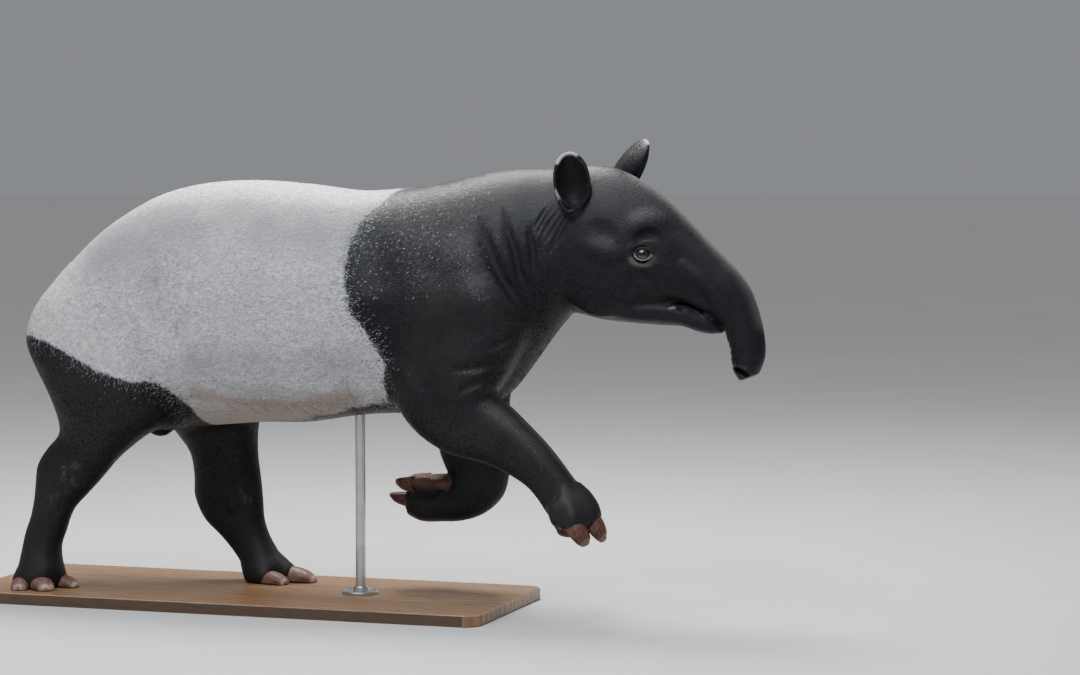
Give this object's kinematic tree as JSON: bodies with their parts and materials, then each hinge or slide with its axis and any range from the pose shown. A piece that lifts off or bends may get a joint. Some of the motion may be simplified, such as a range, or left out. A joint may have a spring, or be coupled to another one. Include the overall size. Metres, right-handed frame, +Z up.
{
  "type": "malayan tapir",
  "caption": "Life-size still model of a Malayan tapir at a canter, hind feet planted and forelegs off the ground, on a flat display base with a rod to the chest.",
  "frame": {"origin": "middle of the whole model's footprint, on the underside of the stand's base", "axes": "+X towards the head, +Y to the animal's left, +Z up"},
  "size_m": [2.0754, 0.54, 1.1907],
  "materials": {
    "hide": "short flat coat, black with a pale grey saddle",
    "hoof_horn": "dull horn, reddish brown with pale streaks",
    "eye": "wet gloss",
    "stand_timber": "oiled oak",
    "stand_steel": "brushed"
  },
  "bodies": {
    "root": {"torso": "hide", "neck": "hide", "head": "hide", "lower_jaw": "hide", "proboscis": "hide", "eye_left": "eye", "eye_right": "eye", "ear_right": "hide", "ear_left": "hide", "tail": "hide", "hind_right_upper_leg": "hide", "hind_right_lower_leg": "hide", "hind_right_hoof_1": "hoof_horn", "hind_right_hoof_2": "hoof_horn", "hind_right_hoof_3": "hoof_horn", "hind_left_upper_leg": "hide", "hind_left_lower_leg": "hide", "hind_left_hoof_1": "hoof_horn", "hind_left_hoof_2": "hoof_horn", "hind_left_hoof_3": "hoof_horn", "fore_right_upper_leg": "hide", "fore_right_lower_leg": "hide", "fore_right_hoof_1": "hoof_horn", "fore_right_hoof_2": "hoof_horn", "fore_right_hoof_3": "hoof_horn", "fore_right_hoof_4": "hoof_horn", "fore_left_upper_leg": "hide", "fore_left_lower_leg": "hide", "fore_left_hoof_1": "hoof_horn", "fore_left_hoof_2": "hoof_horn", "fore_left_hoof_3": "hoof_horn", "fore_left_hoof_4": "hoof_horn", "stand_base": "stand_timber", "stand_flange": "stand_steel", "stand_rod": "stand_steel"}
  },
  "joints": []
}
